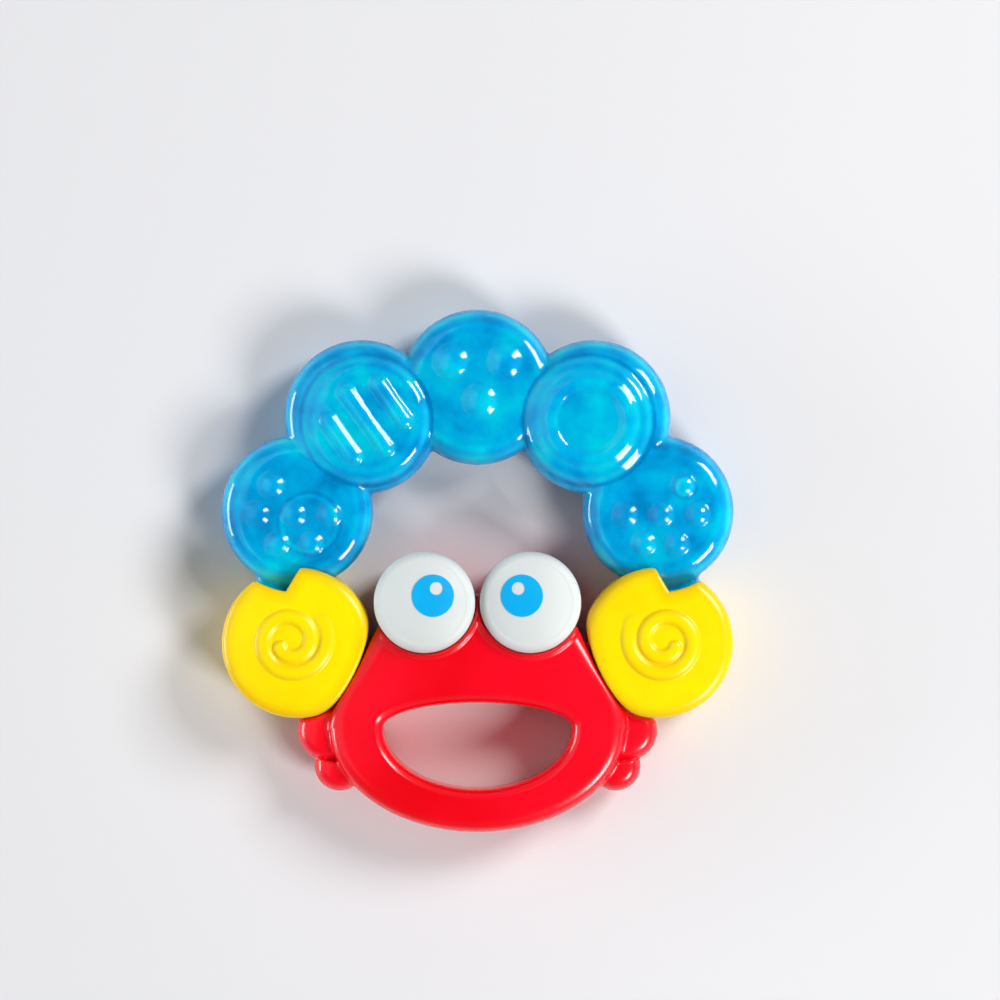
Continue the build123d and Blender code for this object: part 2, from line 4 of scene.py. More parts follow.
import bpy
import numpy as np
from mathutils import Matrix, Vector


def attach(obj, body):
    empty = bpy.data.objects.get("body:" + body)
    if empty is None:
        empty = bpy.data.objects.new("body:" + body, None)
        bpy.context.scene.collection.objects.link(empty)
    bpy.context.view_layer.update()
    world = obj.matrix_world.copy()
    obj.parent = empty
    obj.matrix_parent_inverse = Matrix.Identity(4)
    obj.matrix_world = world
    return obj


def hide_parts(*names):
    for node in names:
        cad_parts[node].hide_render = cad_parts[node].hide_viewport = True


# Crab teething ring: an arch of five water-filled bubbles held in the two claws of a hollow crab body.
# The mouldings are meshed here from rounded solid shapes, given as distances in millimetres in the
# frame of the CAD model. Screws, eyes, pupils, beads and the plug are the CAD's own meshes.

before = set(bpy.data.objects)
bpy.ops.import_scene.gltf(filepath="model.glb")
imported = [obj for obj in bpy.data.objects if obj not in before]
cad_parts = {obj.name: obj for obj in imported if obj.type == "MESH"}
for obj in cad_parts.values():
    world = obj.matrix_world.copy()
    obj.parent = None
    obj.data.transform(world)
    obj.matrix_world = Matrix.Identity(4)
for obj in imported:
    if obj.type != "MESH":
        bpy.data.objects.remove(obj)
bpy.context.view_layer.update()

# Metres in a millimetre, the height of the plane where front and back halves meet, and how far
# their edges are rounded there
MM = 0.001
PARTING = 8.0
SEAM = 0.3
SIDES = {"left": -1, "right": 1}
FRONT, BACK = 1, -1

# Bubbles: centre x, centre y, radius, half thickness. The upper pair carries a raised round cushion.
# LOWER, UPPER and CUSHION are the right-hand ones, and the left side is their mirror image. The same
# goes for every place on the claws and the body.
LOWER = (37.8, 12.4, 15.9, 6.0)
UPPER = (24.3, 32.1, 16.2, 6.1)
TOP = (0.0, 38.4, 16.3, 6.0)
CUSHION = (23.3, 31.4, 13.8, 7.25)
BUBBLE_EDGE = 3.8
CUSHION_EDGE = 2.8
BUBBLE_CROWN = 0.8
BUBBLE_BLEND, CUSHION_BLEND = 1.0, 0.5
SKIN, SKIN_BLEND = 1.8, 0.3
WATER_GAP = 0.05

# Relief: the lower bubbles' dots are placed outwards and upwards from the bubble's centre, and the top
# bubble's big dots to the right and upwards. A rise is how far a shape stands out of its bubble, and a
# drop is how far the cushion's crown has fallen where the shape is.
DOTS = ((-6.8, -0.7), (0.6, -0.7), (8.1, -0.7), (-3.0, -6.7), (3.9, -6.7), (5.1, 5.3))
DOT_BALL, DOT_RISE = 3.9, 0.95
BIG_DOTS = ((-5.3, 5.1), (5.5, 5.1), (0.5, -2.8))
BIG_DOT_BALL, BIG_DOT_RISE = 6.8, 1.0
RIDGE_LENGTHS = (12.0, 17.0, 12.0)
RIDGE_PITCH = 6.4
RIDGE_SLANT = radians(-55)
RIDGE_BALL, RIDGE_RISE, RIDGE_END = 2.8, 0.8, 1.5
RING_RADIUS, RING_BALL, RING_RISE = 8.2, 3.5, 0.65
RIDGE_DROP, RING_DROP = 0.2, 0.3
RELIEF_BLEND = 0.3

# Painted light and shade on the blue skin: how light each bubble's middle is painted, and over what
# width the painted shade at its rim gives way to it;
# then the painted refraction lines, light and dark, that run along the rims, and how far past its rim a
# bubble paints the skin
BUBBLE_PAINTED_LIGHT = ((LOWER, 0.48, 5.0), (UPPER, 0.42, 3.0), (TOP, 0.66, 6.0))
CUSHION_PAINTED_LIGHT = (CUSHION, 0.74, 4.0)
RIM_PAINTED_SHADE = 0.42
PAINTED_RIM_LINES, PAINTED_LINE_PITCH, PAINTED_LINE_REACH = 0.36, 2.3, 2.4
BUBBLE_OVERLAP, CUSHION_OVERLAP = 2.0, 0.4

# Ends of the arch: a tab inside each claw, and a neck in its notch
TAB_X = (31.0, 46.4)
TAB_Y = (-11.2, 12.4)
TAB_HALF, TAB_EDGE, TAB_CORNER = 1.8, 0.3, 2.0
TAB_PINS = ((35.2, -8.3), (42.4, -8.3))
PIN_RADIUS, PIN_HOLE, PIN_POST = 1.4, 1.65, 2.4
PIN_BOTTOM, PIN_TOP, PIN_CLEARANCE = 2.2, 9.8, 0.05
NECK_X = (35.0, 46.2)
NECK_Y = (-6.5, 12.4)
NECK_HALF, NECK_EDGE = 3.6, 1.6
END_BLEND = 0.8

# Air left in the water, one pocket on the left and one on the right: centre x, centre y, radius
AIR = ((-35.2, 9.8, 6.5), (43.3, 17.5, 2.3))
# Depth of each air pocket, then the strength and width of a painted light and dark ring over its edge,
# standing in for the light bent there
AIR_DEPTH, PAINTED_AIR_LINE, PAINTED_AIR_LINE_WIDTH = 1.3, 0.25, 0.7

# Claws: a disc cut by the flank along the body and by the notch for the arch's neck
CLAW = (37.7, -15.1)
CLAW_RADIUS = 15.75
CLAW_BACK, CLAW_FACE = 0.2, 17.1
CLAW_DOME = 0.8
CLAW_EDGE, FLANK_EDGE, NOTCH_EDGE = 2.5, 0.6, 0.9
FLANK = (57.9, -5.5)
FLANK_RADIUS, FLANK_BLEND = 35.9, 1.5
NOTCH_RADIUS, NOTCH_BLEND = 16.9, 0.6
NOTCH_LOW, NOTCH_HIGH = (41.2, -6.4), (34.1, 5.6)
SPIRAL = (39.0, -14.65)
SPIRAL_START, SPIRAL_TURN = 2.73, 3.4
SPIRAL_FROM, SPIRAL_TO, SPIRAL_TURNS = radians(33), radians(572), 3
SPIRAL_HALF_WIDTH, SPIRAL_RISE, SPIRAL_POWER = 1.68, 0.65, 2.5
SPIRAL_FADE, SPIRAL_LOSS = radians(60), 0.7
CLAW_SCREWS = ((43.5, -17.5), (34.8, -24.6))

# Painted shade on the yellow: how light it is painted at a claw's rim and inside it, over what width it
# changes, and how much darker the painted shade gets with the slope of the spiral's flanks
CLAW_PAINTED_SHADES, CLAW_PAINTED_SHADE_WIDTH, SLOPE_PAINTED_SHADE = (0.3, 0.78), 3.5, 0.45

# Screws: head and shank as radius and depth from the piece's back, and the pillars round them
HEAD_RADIUS, HEAD_DEPTH = 2.35, 3.0
BORE_RADIUS, BORE_DEPTH = 1.2, 13.0
BACK_PILLAR, FRONT_PILLAR = 3.8, 2.6

# Body. JAW: centre y, half width, half height. MOUTH: centre y, half width, rise, depth.
# LEGS: centre x, centre y, radius. CHEEKS: corners from the eye down. The bay gives room to the claw.
FACE = 16.8
BODY_DOME, DOME_Y, DOME_REACH = 1.6, -30, (33, 27)
BODY_EDGE, BAY_EDGE, BACK_EDGE = 3.0, 0.5, 1.8
BAY_GAP, BAY_BLEND, BAY_BACK_BLEND = 0.1, 1.0, 2.0
JAW = (-33.0, 31.0, 21.7)
CHEEKS = ((18.8, -5.0), (24.0, -16.0), (31.0, -26.0))
CHEEK_ROUND, TRUNK_BLEND, JAW_BLEND = 2.0, 0.5, 1.5
MOUTH = (-32.9, 19.75, 5.3, 12.9)
LIP_EDGE = 3.0
LEGS = ((31.2, -33.5, 6.5), (28.9, -40.9, 5.3))
LEG_HALF, LEG_EDGE, LEG_DOME = 5.0, 2.6, 0.8
LEG_BLEND, LEG_CLAW_BLEND = 0.6, 0.8
LEG_CREASE = ((29.3, -40.4), (34.0, -39.4))
CREASE_EDGE, CREASE_OVERLAP, CREASE_BLEND = 0.8, 0.2, 0.3
EYE = (11.05, -6.6)
SOCKET_RADIUS, SOCKET_FLOOR, SOCKET_BLEND = 10.7, 9.6, 0.5
EYE_HOLE_BOTTOM, EYE_HOLE_TOP = 7.0, 10.0
LOBE_RADIUS, LOBE_HALF, LOBE_EDGE, LOBE_BLEND = 9.6, 5, 1.2, 1.0
COLLAR_RADIUS, COLLAR_HALF_WIDTH, COLLAR_RISE = 11.35, 0.8, 0.5
ARM_ROOT, ARM_EYE = (22.5, -19.0), (31.0, -16.8)
ARM_HALF_WIDTH, ARM_MIDDLE, ARM_HALF, ARM_EDGE = 3.5, 6.6, 1.4, 0.4
SLOT_HALF, SLOT_EDGE = 1.5, 0.3
ARM_HOLE, ARM_HOLE_HALF = 2.0, 2
ARM_POST, ARM_POST_MIDDLE, ARM_POST_HALF = 1.8, 4.9, 3.0
ARM_COLLAR = 3.1
BODY_SCREWS = ((18.5, -22.0), (20.2, -43.8))

# Wall of the hollow mouldings, and the gap between two pieces
WALL, WALL_BLEND = 1.6, 0.2
GAP = 0.25

# ---------------------------------------------------------------- distances


def smooth_min(a, b, k):
    """Union of two distances, blended over k."""
    h = np.maximum(k - np.abs(a - b), 0) / k
    return np.minimum(a, b) - h * h * k / 4


def smooth_max(a, b, k):
    """Intersection of two distances, blended over k."""
    return -smooth_min(-a, -b, k)


def slab(flat, rise, edge):
    """Solid with a rounded rim: flat is the distance to its outline, rise the one to its face."""
    a, b = flat + edge, rise + edge
    return np.minimum(np.maximum(a, b), 0) + np.hypot(np.maximum(a, 0), np.maximum(b, 0)) - edge


def circle(x, y, centre, radius):
    """Distance to a circle."""
    return np.hypot(x - centre[0], y - centre[1]) - radius


def ellipse(x, y, across, along):
    """Distance to an ellipse about the origin, close to exact near its outline."""
    near = np.hypot(x / across, y / along)
    steep = np.hypot(x / across**2, y / along**2)
    return near * (near - 1) / np.maximum(steep, 1e-6)


def segment(x, y, a, b):
    """Distance from the straight line between two points."""
    run = (b[0] - a[0], b[1] - a[1])
    share = ((x - a[0]) * run[0] + (y - a[1]) * run[1]) / (run[0] ** 2 + run[1] ** 2)
    share = np.clip(share, 0, 1)
    return np.hypot(x - a[0] - share * run[0], y - a[1] - share * run[1])


def box_outline(x, y, spans, corner):
    """Distance to a rectangle with rounded corners."""
    (x0, x1), (y0, y1) = spans
    a = np.abs(x - (x0 + x1) / 2) - (x1 - x0) / 2 + corner
    b = np.abs(y - (y0 + y1) / 2) - (y1 - y0) / 2 + corner
    return np.minimum(np.maximum(a, b), 0) + np.hypot(np.maximum(a, 0), np.maximum(b, 0)) - corner


def half_plane(x, y, a, b):
    """Distance beyond the line from a to b, negative on its right-hand side."""
    run = Vector((b[0] - a[0], b[1] - a[1])).normalized()
    return (y - a[1]) * run[0] - (x - a[0]) * run[1]


def bump(t):
    """Soft bump: 1 at t = 0, 0 from t = 1."""
    return np.maximum(1 - t * t, 0) ** 2


def ease(t):
    """Smooth step from 0 to 1."""
    t = np.clip(t, 0, 1)
    return t * t * (3 - 2 * t)


# ---------------------------------------------------------------- the arch


def bubble(x, y, z, place, edge):
    """Round pillow, crowned on both faces."""
    away = np.hypot(x - place[0], y - place[1])
    crown = place[3] - BUBBLE_CROWN * (away / place[2]) ** 2
    return slab(away - place[2], np.abs(z - PARTING) - crown, edge)


def arch_core(x, y, z):
    """The five bubbles, without relief or tabs."""
    x = np.abs(x)
    lower, upper = (bubble(x, y, z, place, BUBBLE_EDGE) for place in (LOWER, UPPER))
    solid = smooth_min(lower, upper, BUBBLE_BLEND)
    solid = smooth_min(solid, bubble(x, y, z, TOP, BUBBLE_EDGE), BUBBLE_BLEND)
    return smooth_min(solid, bubble(x, y, z, CUSHION, CUSHION_EDGE), CUSHION_BLEND)


def arch_ends(x, y, z):
    """Thin tab inside each claw, and the thick neck over it that fills the claw's notch."""
    x, up = np.abs(x), np.abs(z - PARTING)
    tab = slab(box_outline(x, y, (TAB_X, TAB_Y), TAB_CORNER), up - TAB_HALF, TAB_EDGE)
    neck = slab(box_outline(x, y, (NECK_X, NECK_Y), TAB_CORNER), up - NECK_HALF, NECK_EDGE)
    return np.minimum(tab, neck)


def crown_at(place, dx, dy):
    """Height of a bubble's crown over the parting plane."""
    return place[3] - BUBBLE_CROWN * (dx * dx + dy * dy) / place[2] ** 2


def raised_dots(x, y, up, place, dots, ball, rise):
    """Parts of balls that stand out of a bubble's crown."""
    made = []
    for dx, dy in dots:
        sunk = crown_at(place, dx, dy) + rise - ball
        made.append(np.hypot(np.hypot(x - place[0] - dx, y - place[1] - dy), up - sunk) - ball)
    return made


def raised_ridges(x, y, up):
    """Three slanted ridges on the left cushion."""
    along = (cos(RIDGE_SLANT), sin(RIDGE_SLANT))
    sunk = CUSHION[3] - RIDGE_DROP + RIDGE_RISE - RIDGE_BALL
    made = []
    for row, length in zip((-1, 0, 1), RIDGE_LENGTHS):
        middle = (-CUSHION[0] - row * RIDGE_PITCH * along[1], CUSHION[1] + row * RIDGE_PITCH * along[0])
        reach = length / 2 - RIDGE_END
        a = (middle[0] - reach * along[0], middle[1] - reach * along[1])
        b = (middle[0] + reach * along[0], middle[1] + reach * along[1])
        made.append(np.hypot(segment(x, y, a, b), up - sunk) - RIDGE_BALL)
    return made


def raised_ring(x, y, up):
    """The ring on the right cushion."""
    sunk = CUSHION[3] - RING_DROP + RING_RISE - RING_BALL
    return np.hypot(circle(x, y, CUSHION, RING_RADIUS), up - sunk) - RING_BALL


def arch_relief(x, y, z):
    """Dots, ridges and the ring, as round shapes that stand out of the bubbles."""
    up = np.abs(z - PARTING)
    made = raised_dots(np.abs(x), y, up, LOWER, DOTS, DOT_BALL, DOT_RISE)
    made += raised_dots(x, y, up, TOP, BIG_DOTS, BIG_DOT_BALL, BIG_DOT_RISE)
    made += raised_ridges(x, y, up)
    made.append(raised_ring(x, y, up))
    return reduce(np.minimum, made)


def arch_skin(x, y, z):
    """Front half of the hollow skin. The back half is its mirror image."""
    core = arch_core(x, y, z)
    solid = smooth_min(core, arch_relief(x, y, z), RELIEF_BLEND)
    solid = smooth_min(solid, arch_ends(x, y, z), END_BLEND)
    solid = smooth_max(solid, -(core + SKIN), SKIN_BLEND)
    for pin in TAB_PINS:
        solid = np.maximum(solid, -circle(np.abs(x), y, pin, PIN_HOLE))
    return smooth_max(solid, PARTING - z, SEAM)


def water(x, y, z):
    """The water, with the air that is left in it under the front skin."""
    solid = arch_core(x, y, z) + SKIN + WATER_GAP
    for centre_x, centre_y, radius in AIR:
        away = np.hypot(x - centre_x, y - centre_y)
        bottom = PARTING + LOWER[3] - SKIN - AIR_DEPTH * np.sqrt(np.maximum(1 - (away / radius) ** 2, 0))
        solid = np.maximum(solid, np.minimum(radius - away, z - bottom))
    return solid


def bubble_painted_light(x, y, place, level, width):
    """Painted light and shade of one bubble, with painted refraction lines along its rim, and the
    distance in from that rim.
    """
    inside = place[2] - np.hypot(x - place[0], y - place[1])
    painted_lines = PAINTED_RIM_LINES * np.cos(2 * pi * inside / PAINTED_LINE_PITCH) * np.exp(-np.abs(inside) / PAINTED_LINE_REACH)
    return RIM_PAINTED_SHADE + (level - RIM_PAINTED_SHADE) * ease(inside / width) - painted_lines, inside


def arch_painted_light(points):
    """Painted light and shade at each point of the arch, from 0 to 1."""
    x, y = np.abs(points[:, 0]), points[:, 1]
    painted_light_and_shade, deepest = np.full(len(x), RIM_PAINTED_SHADE), np.full(len(x), -BUBBLE_OVERLAP)
    for entry in BUBBLE_PAINTED_LIGHT:
        own, inside = bubble_painted_light(x, y, *entry)
        painted_light_and_shade = np.where(inside > deepest, own, painted_light_and_shade)
        deepest = np.maximum(deepest, inside)
    own, inside = bubble_painted_light(x, y, *CUSHION_PAINTED_LIGHT)
    painted_light_and_shade = np.where(inside > -CUSHION_OVERLAP, own, painted_light_and_shade)
    # Painted light and dark ring over the edge of each air pocket, seen through the skin
    for centre_x, centre_y, radius in AIR:
        inside = (radius - np.hypot(points[:, 0] - centre_x, y - centre_y)) / PAINTED_AIR_LINE_WIDTH
        painted_light_and_shade += PAINTED_AIR_LINE * (bump(inside - 1) - bump(inside))
    return painted_light_and_shade


# ---------------------------------------------------------------- the claws


def claw_disc(x, y):
    """Outline of a claw without its notch."""
    disc, flank, _ = claw_sides(x, y)
    return smooth_max(disc, flank, FLANK_BLEND)


def spiral_rise(x, y):
    """Height of the spiral ridge, which winds outwards and fades into the claw's face."""
    u, v = np.abs(x) - SPIRAL[0], y - SPIRAL[1]
    away = np.hypot(u, v)
    first = np.mod(-np.arctan2(v, u), 2 * pi)
    rise = 0 * away
    for turn in range(SPIRAL_TURNS):
        angle = first + 2 * pi * turn
        inside = np.clip(angle, SPIRAL_FROM, SPIRAL_TO)
        track = SPIRAL_START + SPIRAL_TURN * (inside - SPIRAL_FROM) / (2 * pi)
        off = np.hypot(away - track, (angle - inside) * away)
        fade = 1 - SPIRAL_LOSS * ease((inside - SPIRAL_TO + SPIRAL_FADE) / SPIRAL_FADE)
        profile = 1 - np.minimum(off / SPIRAL_HALF_WIDTH, 1) ** SPIRAL_POWER
        rise = np.maximum(rise, SPIRAL_RISE * fade * profile)
    return rise


def claw_painted_shade(points):
    """Painted shade at each point of a claw: darker at the rim and on the spiral's flanks, where the
    surface turns from the light.
    """
    x, y = points[:, 0], points[:, 1]
    nudge = 0.1
    across = spiral_rise(x + nudge, y) - spiral_rise(x - nudge, y)
    along = spiral_rise(x, y + nudge) - spiral_rise(x, y - nudge)
    steep = np.hypot(across, along) / (2 * nudge)
    rim, middle = CLAW_PAINTED_SHADES
    return rim + (middle - rim) * ease(-claw_outline(x, y) / CLAW_PAINTED_SHADE_WIDTH) - SLOPE_PAINTED_SHADE * steep


def claw_sides(x, y):
    """Distances to a claw's disc, to its flank along the body, and to its notch."""
    ax = np.abs(x)
    disc, flank = circle(ax, y, CLAW, CLAW_RADIUS), circle(ax, y, FLANK, FLANK_RADIUS)
    notch = np.maximum(circle(ax, y, LOWER[:2], NOTCH_RADIUS), half_plane(ax, y, NOTCH_LOW, NOTCH_HIGH))
    return disc, flank, -notch


def claw_outline(x, y):
    """Outline of a claw with its notch."""
    return smooth_max(claw_disc(x, y), claw_sides(x, y)[2], NOTCH_BLEND)


def claw_outer(x, y, z):
    """Claw without its hollow: domed, with the spiral on its face."""
    ax = np.abs(x)
    disc, flank, notch = claw_sides(x, y)
    dome = CLAW_DOME * ((ax - CLAW[0]) ** 2 + (y - CLAW[1]) ** 2) / CLAW_RADIUS**2
    top = z - (CLAW_FACE - dome + spiral_rise(x, y))
    front = smooth_max(slab(disc, top, CLAW_EDGE), slab(flank, top, FLANK_EDGE), FLANK_BLEND)
    front = smooth_max(front, slab(notch, top, NOTCH_EDGE), NOTCH_BLEND)
    return np.maximum(front, slab(claw_outline(x, y), CLAW_BACK - z, BACK_EDGE))


def nearest(x, y, places):
    """Distance to the nearest of some places, which are the same on both sides."""
    return reduce(np.minimum, [circle(np.abs(x), y, place, 0) for place in places])


def screw_holes(x, y, z, places, back):
    """Counterbores from the back, each with its bore."""
    away, depth = nearest(x, y, places), z - back
    head = np.maximum(away - HEAD_RADIUS, depth - HEAD_DEPTH)
    return np.minimum(head, np.maximum(away - BORE_RADIUS, depth - BORE_DEPTH))


def pillars(x, y, z, places):
    """Pillars round the screws, wide at the back and narrow at the front."""
    away = nearest(x, y, places)
    return np.where(z < PARTING, away - BACK_PILLAR, away - FRONT_PILLAR)


def upright(flat, z, bottom, top):
    """Straight-sided solid between two heights."""
    return np.maximum(flat, np.abs(z - (bottom + top) / 2) - (top - bottom) / 2)


def claw_shell(x, y, z):
    """Hollow claw, open where the bubble, the tab and the body's arm go in."""
    ax = np.abs(x)
    pins = nearest(x, y, TAB_PINS)
    outer = claw_outer(x, y, z)
    hollow = np.maximum(outer + WALL, -pillars(x, y, z, CLAW_SCREWS))
    hollow = np.maximum(hollow, PIN_POST - pins)
    hollow = np.maximum(hollow, -circle(ax, y, ARM_EYE, ARM_COLLAR))
    solid = smooth_max(outer, -hollow, WALL_BLEND)
    arch = np.minimum(arch_core(x, y, z), arch_ends(x, y, z))
    solid = smooth_max(solid, GAP - arch, WALL_BLEND)
    arm = slab(arm_outline(x, y) - GAP, np.abs(z - ARM_MIDDLE) - SLOT_HALF, SLOT_EDGE)
    solid = np.maximum(solid, -arm)
    solid = np.minimum(solid, upright(pins - PIN_RADIUS, z, PIN_BOTTOM, PIN_TOP))
    post = circle(ax, y, ARM_EYE, ARM_POST)
    solid = np.minimum(solid, np.maximum(post, np.abs(z - ARM_POST_MIDDLE) - ARM_POST_HALF))
    return np.maximum(solid, -screw_holes(x, y, z, CLAW_SCREWS, CLAW_BACK))


# ---------------------------------------------------------------- the body


def arm_outline(x, y):
    """Arm that reaches from the body into a claw."""
    return segment(np.abs(x), y, ARM_ROOT, ARM_EYE) - ARM_HALF_WIDTH


def mouth_outline(x, y):
    """Low upper lip over a deep lower lip."""
    y = y - MOUTH[0]
    return np.where(y > 0, ellipse(x, y, MOUTH[1], MOUTH[2]), ellipse(x, y, MOUTH[1], MOUTH[3]))


def body_outline(x, y):
    """Round jaw with a trunk that narrows towards the eyes."""
    x = np.abs(x)
    jaw = ellipse(x, y - JAW[0], JAW[1], JAW[2])
    brow = np.maximum(y - CHEEKS[0][1], half_plane(x, y, CHEEKS[0], CHEEKS[1]))
    cheek = np.maximum(half_plane(x, y, CHEEKS[1], CHEEKS[2]), x - CHEEKS[2][0])
    trunk = smooth_max(smooth_max(brow, cheek, CHEEK_ROUND), JAW[0] - y, TRUNK_BLEND)
    return smooth_min(jaw, trunk, JAW_BLEND)


def leg_lobes(x, y, z):
    """Two round lobes on each side of the jaw, with a crease between them."""
    ax = np.abs(x)
    above = half_plane(ax, y, *LEG_CREASE)
    lobes = []
    for (lobe_x, lobe_y, radius), beyond in zip(LEGS, (-above, above)):
        away = np.hypot(ax - lobe_x, y - lobe_y)
        up = np.abs(z - PARTING) - LEG_HALF + LEG_DOME * (away / radius) ** 2
        crease = slab(beyond - CREASE_OVERLAP, up, CREASE_EDGE)
        lobes.append(smooth_max(slab(away - radius, up, LEG_EDGE), crease, CREASE_BLEND))
    return smooth_max(np.minimum(*lobes), GAP - claw_disc(x, y), LEG_CLAW_BLEND)


def body_outer(x, y, z):
    """Body without its hollow: mouth, legs, lobes and sockets for the eyes, and arms."""
    ax = np.abs(x)
    eye_away = np.hypot(ax - EYE[0], y - EYE[1])
    dome = BODY_DOME * ((x / DOME_REACH[0]) ** 2 + ((y - DOME_Y) / DOME_REACH[1]) ** 2)
    collar = COLLAR_RISE * bump((eye_away - COLLAR_RADIUS) / COLLAR_HALF_WIDTH)
    top = z - (FACE - dome + collar)
    flat, mouth = body_outline(x, y), -mouth_outline(x, y)
    bay = FLANK_RADIUS + BAY_GAP - np.hypot(ax - FLANK[0], y - FLANK[1])
    solid = smooth_max(slab(flat, top, BODY_EDGE), slab(bay, top, BAY_EDGE), BAY_BLEND)
    solid = np.maximum(solid, slab(smooth_max(flat, bay, BAY_BACK_BLEND), -z, BACK_EDGE))
    lobe = slab(eye_away - LOBE_RADIUS, np.abs(z - LOBE_HALF) - LOBE_HALF, LOBE_EDGE)
    solid = smooth_min(solid, lobe, LOBE_BLEND)
    solid = smooth_min(solid, leg_lobes(x, y, z), LEG_BLEND)
    solid = np.maximum(solid, np.maximum(slab(mouth, top, LIP_EDGE), slab(mouth, -z, BACK_EDGE)))
    socket = np.maximum(eye_away - SOCKET_RADIUS, SOCKET_FLOOR - z)
    solid = smooth_max(solid, -socket, SOCKET_BLEND)
    arm = slab(arm_outline(x, y), np.abs(z - ARM_MIDDLE) - ARM_HALF, ARM_EDGE)
    return np.minimum(solid, arm)


def body_shell(x, y, z):
    """Hollow body with its screw pillars, eye sockets and arms."""
    ax = np.abs(x)
    outer = body_outer(x, y, z)
    hollow = np.maximum(outer + WALL, -pillars(x, y, z, BODY_SCREWS))
    solid = smooth_max(outer, -hollow, WALL_BLEND)
    eye_hole = upright(circle(ax, y, EYE, BORE_RADIUS), z, EYE_HOLE_BOTTOM, EYE_HOLE_TOP)
    arm_hole = np.maximum(circle(ax, y, ARM_EYE, ARM_HOLE), np.abs(z - ARM_MIDDLE) - ARM_HOLE_HALF)
    solid = np.maximum(solid, -np.minimum(eye_hole, arm_hole))
    return np.maximum(solid, -screw_holes(x, y, z, BODY_SCREWS, 0))


# ---------------------------------------------------------------- meshing

CORNERS = [(i, j, k) for i in (0, 1) for j in (0, 1) for k in (0, 1)]
RELAX_PASSES, RELAX_SHARE = 3, 0.5
SHARP_ANGLE = radians(48)


def surface_net(field, low, high, step):
    """Points and outward quads of the surface where the field is zero, on a grid past the box."""
    below, above = 1.5 * step, 2.5 * step
    axes = [np.arange(a - below, b + above, step) for a, b in zip(low, high)]
    shape = tuple(len(axis) for axis in axes)
    value = np.broadcast_to(field(*np.meshgrid(*axes, indexing="ij", sparse=True)), shape)
    solid = value < 0
    count = np.zeros([n - 1 for n in shape], np.int8)
    for corner in CORNERS:
        count += solid[tuple(slice(c, n - 1 + c) for c, n in zip(corner, shape))]
    active = (count > 0) & (count < 8)
    cells = np.argwhere(active)
    number = np.full(active.shape, -1)
    number[active] = np.arange(len(cells))

    total = np.zeros((len(cells), 3))
    crossings = np.zeros(len(cells))
    for axis in range(3):
        unit = np.eye(3, dtype=int)[axis]
        for corner in CORNERS:
            if corner[axis]:
                continue
            start = cells + corner
            first, last = value[tuple(start.T)], value[tuple((start + unit).T)]
            crossed = (first < 0) != (last < 0)
            share = np.where(crossed, first / np.where(crossed, first - last, 1), 0)
            total += np.where(crossed[:, None], start + share[:, None] * unit, 0)
            crossings += crossed
    points = total / crossings[:, None] * step + [axis[0] for axis in axes]

    quads = []
    for axis in range(3):
        before = tuple(slice(0, -1) if a == axis else slice(None) for a in range(3))
        after = tuple(slice(1, None) if a == axis else slice(None) for a in range(3))
        spots = np.argwhere(solid[before] != solid[after])
        p, q = (axis + 1) % 3, (axis + 2) % 3
        ring = []
        for dp, dq in ((-1, -1), (0, -1), (0, 0), (-1, 0)):
            cell = spots.copy()
            cell[:, p] += dp
            cell[:, q] += dq
            ring.append(number[tuple(cell.T)])
        ring = np.stack(ring, axis=1)
        outward = solid[before][tuple(spots.T)]
        quads.append(np.where(outward[:, None], ring, ring[:, ::-1]))
    return points, np.concatenate(quads)


def settle(points, field, reach):
    """Moves points along the field's slope onto its surface, at most by reach."""
    nudge, flattest = 0.02, 0.1
    x, y, z = points.T
    slope = np.stack(
        [
            field(x + nudge, y, z) - field(x - nudge, y, z),
            field(x, y + nudge, z) - field(x, y - nudge, z),
            field(x, y, z + nudge) - field(x, y, z - nudge),
        ],
        axis=1,
    ) / (2 * nudge)
    steep = np.maximum((slope**2).sum(axis=1), flattest)
    move = -slope * (field(x, y, z) / steep)[:, None]
    length = np.maximum(np.sqrt((move**2).sum(axis=1)), 1e-9)
    return points + move * np.minimum(1, reach / length)[:, None]


def relax(points, quads, amount):
    """Moves every point towards the middle of its neighbours."""
    start = quads.ravel()
    end = np.roll(quads, -1, axis=1).ravel()
    count = np.bincount(start, minlength=len(points))
    middle = np.stack([np.bincount(start, points[end, a], len(points)) for a in range(3)], axis=1)
    return points + amount * (middle / count[:, None] - points)


def mesh_points(field, corners, step):
    """Even mesh of a field's surface: each pass evens out the points, then puts them back on it."""
    points, quads = surface_net(field, *corners, step)
    for _ in range(RELAX_PASSES):
        points = settle(relax(points, quads, RELAX_SHARE), field, step / 2)
    return settle(points, field, step / 2), quads


def piece(name, points, quads, material, node):
    """A smooth mesh that rides on the root body and stands for the CAD node."""
    mesh = bpy.data.meshes.new(name)
    mesh.vertices.add(len(points))
    mesh.vertices.foreach_set("co", (points * MM).astype(np.float32).ravel())
    mesh.loops.add(quads.size)
    mesh.loops.foreach_set("vertex_index", quads.astype(np.int32).ravel())
    mesh.polygons.add(len(quads))
    mesh.polygons.foreach_set("loop_start", np.arange(0, quads.size, 4, dtype=np.int32))
    mesh.update(calc_edges=True)
    mesh.validate()
    mesh.shade_smooth()
    mesh.set_sharp_from_angle(angle=SHARP_ANGLE)
    mesh.materials.append(material)
    made = bpy.data.objects.new(name, mesh)
    bpy.context.scene.collection.objects.link(made)
    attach(made, "root")
    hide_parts(node)
    return made


def store_painted_light_and_shade(made, values):
    """Stores the painted light and shade, one number for each point, for the material to read."""
    stored = made.data.attributes.new("painted_light_and_shade", "FLOAT", "POINT")
    stored.data.foreach_set("value", values.astype(np.float32))


# ---------------------------------------------------------------- materials

